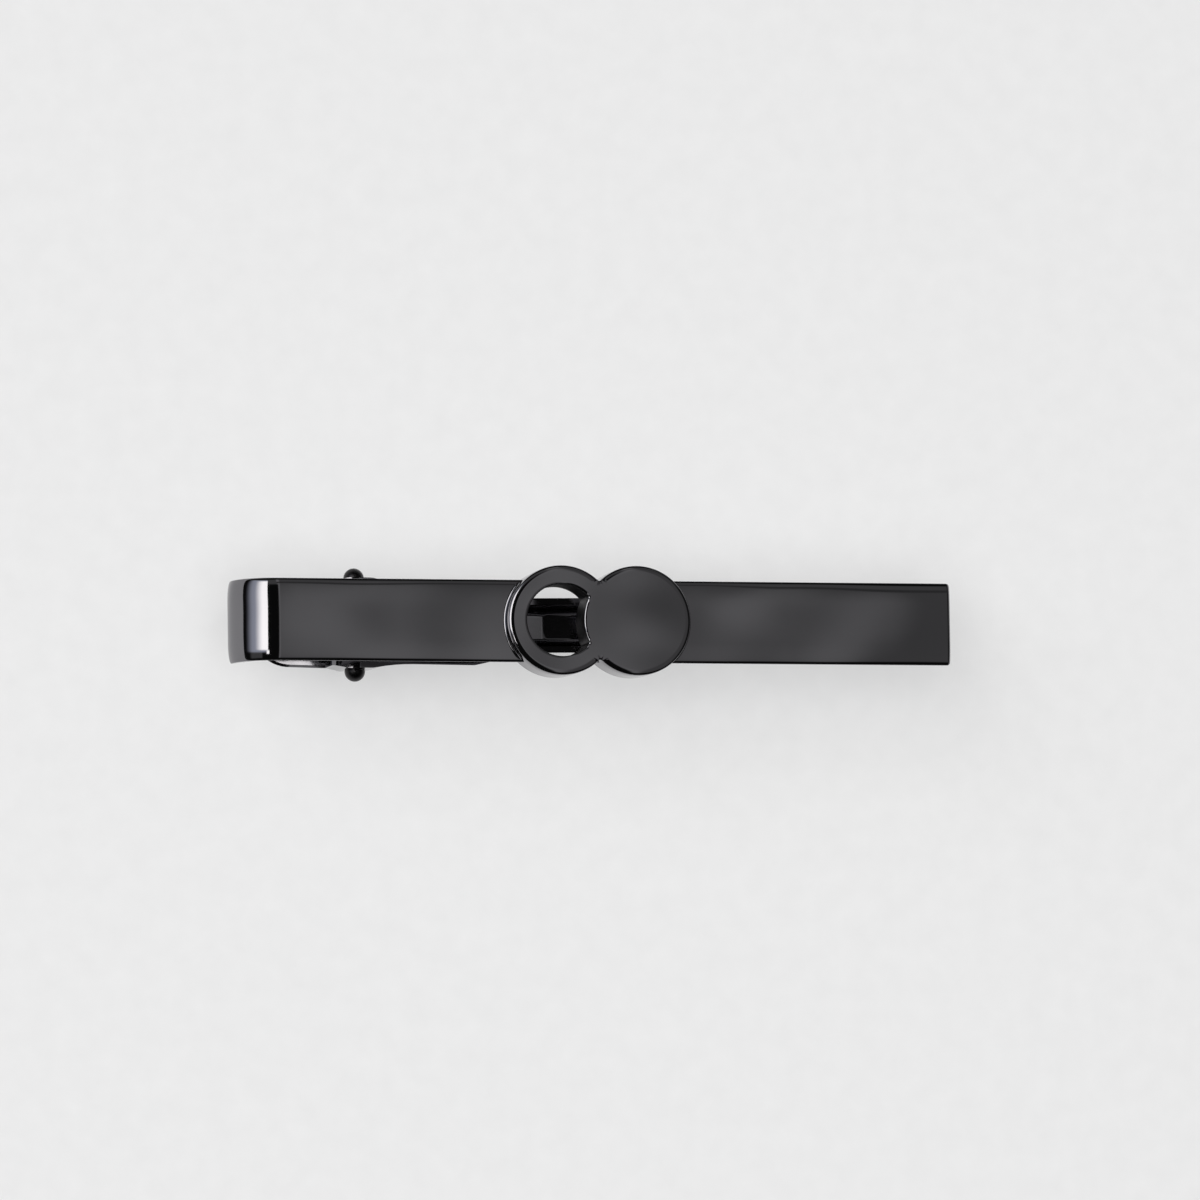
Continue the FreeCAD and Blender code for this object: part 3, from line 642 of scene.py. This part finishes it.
def makeTable():
    deselectAll()
    bpy.ops.mesh.primitive_plane_add(size=table["size"], location=(0, 0, -table["drop"] * mm))
    made = newest("tableBoard")
    board = bpy.data.materials.new("matBoard")
    board.use_nodes = True
    tree = board.node_tree
    tree.nodes.clear()
    place = addNode(tree, "ShaderNodeTexCoord")
    fibre = addNode(tree, "ShaderNodeTexNoise",
                    values={"Scale": 1 / (table["speckMm"] * mm), "Detail": table["speckDetail"]},
                    links={"Vector": place.outputs["Object"]})
    tint = addNode(tree, "ShaderNodeMix", settings={"data_type": "RGBA"},
                   values={colourA: linearColour(table["colour"]), colourB: linearColour(table["speck"])},
                   links={0: fibre.outputs["Fac"]})
    shader = addNode(tree, "ShaderNodeBsdfPrincipled",
                     values={"Roughness": table["roughness"], "Specular IOR Level": table["specular"]},
                     links={"Base Color": tint.outputs[colourOut]})
    # a share of its white is its own, for the camera and the metal only, which thins the shadow
    glow = addNode(tree, "ShaderNodeEmission", values={"Strength": 1.0},
                   links={"Color": tint.outputs[colourOut]})
    ray = addNode(tree, "ShaderNodeLightPath")
    looks = addNode(tree, "ShaderNodeMath", settings={"operation": "MAXIMUM"},
                    links={0: ray.outputs["Is Camera Ray"], 1: ray.outputs["Is Glossy Ray"]})
    share = addNode(tree, "ShaderNodeMath", settings={"operation": "MULTIPLY"}, values={1: table["glow"]},
                    links={0: looks.outputs[0]})
    pale = addNode(tree, "ShaderNodeMixShader", links={0: share.outputs[0], 1: shader.outputs["BSDF"],
                                                       2: glow.outputs["Emission"]})
    # seen from below the board is clear, so that the back of the clip shows
    clear = addNode(tree, "ShaderNodeBsdfTransparent")
    side = addNode(tree, "ShaderNodeNewGeometry")
    seen = addNode(tree, "ShaderNodeMixShader", links={0: side.outputs["Backfacing"], 1: pale.outputs["Shader"],
                                                       2: clear.outputs["BSDF"]})
    addNode(tree, "ShaderNodeOutputMaterial", links={"Surface": seen.outputs["Shader"]})
    made.data.materials.append(board)
    return made


makeTable()
print("table in place")

# camera: nearly overhead, leaning to the hook end and a little to the near side
shot = {
    "aim": (0.35, 1.66, 1.8), "lean": (-0.249, -0.097, 1.0), "roll": 0.5, "away": 1500.0, "wide": 92.8,
    "sensor": 36.0, "clipNear": 0.05, "clipFar": 20.0,
}


def makeCamera():
    back = Vector(shot["lean"]).normalized()
    level = (Vector((1, 0, 0)) - back * back.x).normalized()
    upright = back.cross(level)
    roll = math.radians(shot["roll"])
    right = level * math.cos(roll) + upright * math.sin(roll)
    up = upright * math.cos(roll) - level * math.sin(roll)
    lens = bpy.data.cameras.new("camera")
    lens.sensor_width = shot["sensor"]
    lens.lens = shot["sensor"] * shot["away"] / shot["wide"]
    lens.clip_start, lens.clip_end = shot["clipNear"], shot["clipFar"]
    holder = bpy.data.objects.new("camera", lens)
    bpy.context.scene.collection.objects.link(holder)
    turn = Matrix((right, up, back)).transposed().to_4x4()
    holder.matrix_world = Matrix.Translation((Vector(shot["aim"]) + back * shot["away"]) * mm) @ turn
    bpy.context.scene.camera = holder
    return right, up, back


rightWay, upWay, backWay = makeCamera()

# studio: one tall softbox to the left of the camera, a dark gap beside it, grey room beyond
studio = {
    "room": ("#FFFFFF", 0.18),
    # in degrees left of the camera and above it:
    # name, sides, their softness, ends, their softness, colour, level
    "areas": [
        ("right wall", (-25.5, -20), (5, 1), (-90, 90), (1, 1), "#FFFFFF", 0.43),
        ("far left", (60, 100), (10, 20), (-40, 40), (20, 20), "#FFFFFF", 0.015),
        ("far right", (-75, -60), (15, 15), (-60, 60), (20, 20), "#FFFFFF", 0.02),
        ("ceiling seam", (-66, -20), (8, 2), (26.5, 28.5), (2, 3), "#FFFFFF", 0.1),
        ("camera side", (-22, 20), (3, 3), (-75, 22), (4, 4), "#FFFFFF", 0.012),
        ("near end of the room", (-60, 60), (15, 15), (-75, -24), (12, 8), "#FFFFFF", 0.012),
        ("far end of the room", (-60, 60), (15, 15), (46, 75), (6, 12), "#FFFFFF", 0.012),
        ("softbox glow", (6.5, 44), (0.5, 26), (0, 34), (3, 8), "#DCE2F2", 1.4),
        ("softbox", (6.5, 18), (0.6, 26), (2.5, 30), (2, 6), "#FFFDFA", 4.7),
        ("softbox stand", (3.2, 8), (0.6, 3), (-4, 0.5), (1.5, 1.5), "#FFFDFA", 4.7),
    ],
    # a broad lamp on the camera's side, kept out of the reflections, for the even light on the table
    "fillSize": 0.5, "fillAway": 1.0, "fillPower": 7.0,
}


def glowOf(colour, level):
    return [part * level for part in linearColour(colour)]


def makeStudio():
    world = bpy.data.worlds.new("studio")
    bpy.context.scene.world = world
    world.use_nodes = True
    tree = world.node_tree
    tree.nodes.clear()
    way = addNode(tree, "ShaderNodeTexCoord").outputs["Generated"]
    parts = [addNode(tree, "ShaderNodeVectorMath", settings={"operation": "DOT_PRODUCT"}, values={1: axis},
                     links={0: way}).outputs["Value"] for axis in (-rightWay, upWay, backWay)]
    left = addNode(tree, "ShaderNodeMath", settings={"operation": "ARCTAN2"}, links={0: parts[0], 1: parts[2]})
    rise = addNode(tree, "ShaderNodeMath", settings={"operation": "ARCSINE"}, links={0: parts[1]})
    light = addNode(tree, "ShaderNodeRGB").outputs[0]
    light.default_value = glowOf(*studio["room"])
    for name, across, acrossSoft, up, upSoft, colour, level in studio["areas"]:
        inside = None
        for angle, (low, high), (lowSoft, highSoft) in ((left, across, acrossSoft), (rise, up, upSoft)):
            for edge, past in ((low, low - lowSoft), (high, high + highSoft)):
                side = addNode(tree, "ShaderNodeMapRange", settings={"interpolation_type": "SMOOTHSTEP"},
                               values={"From Min": math.radians(past), "From Max": math.radians(edge)},
                               links={"Value": angle.outputs[0]}).outputs["Result"]
                if inside:
                    side = addNode(tree, "ShaderNodeMath", settings={"operation": "MULTIPLY"},
                                   links={0: inside, 1: side}).outputs[0]
                inside = side
        area = addNode(tree, "ShaderNodeMix", settings={"data_type": "RGBA", "label": name},
                       values={colourB: glowOf(colour, level)}, links={0: inside, colourA: light})
        light = area.outputs[colourOut]
    shine = addNode(tree, "ShaderNodeBackground", links={"Color": light})
    addNode(tree, "ShaderNodeOutputWorld", links={"Surface": shine.outputs["Background"]})


def makeFill():
    deselectAll()
    bpy.ops.object.light_add(type="AREA", location=backWay * studio["fillAway"],
                             rotation=backWay.to_track_quat("Z", "Y").to_euler())
    lamp = bpy.context.object
    lamp.name = "fillLamp"
    lamp.data.size = studio["fillSize"]
    lamp.data.energy = studio["fillPower"]
    lamp.visible_glossy = False
    lamp.visible_camera = False


makeStudio()
makeFill()
bpy.context.scene.view_settings.view_transform = "Standard"
print("camera and studio set")
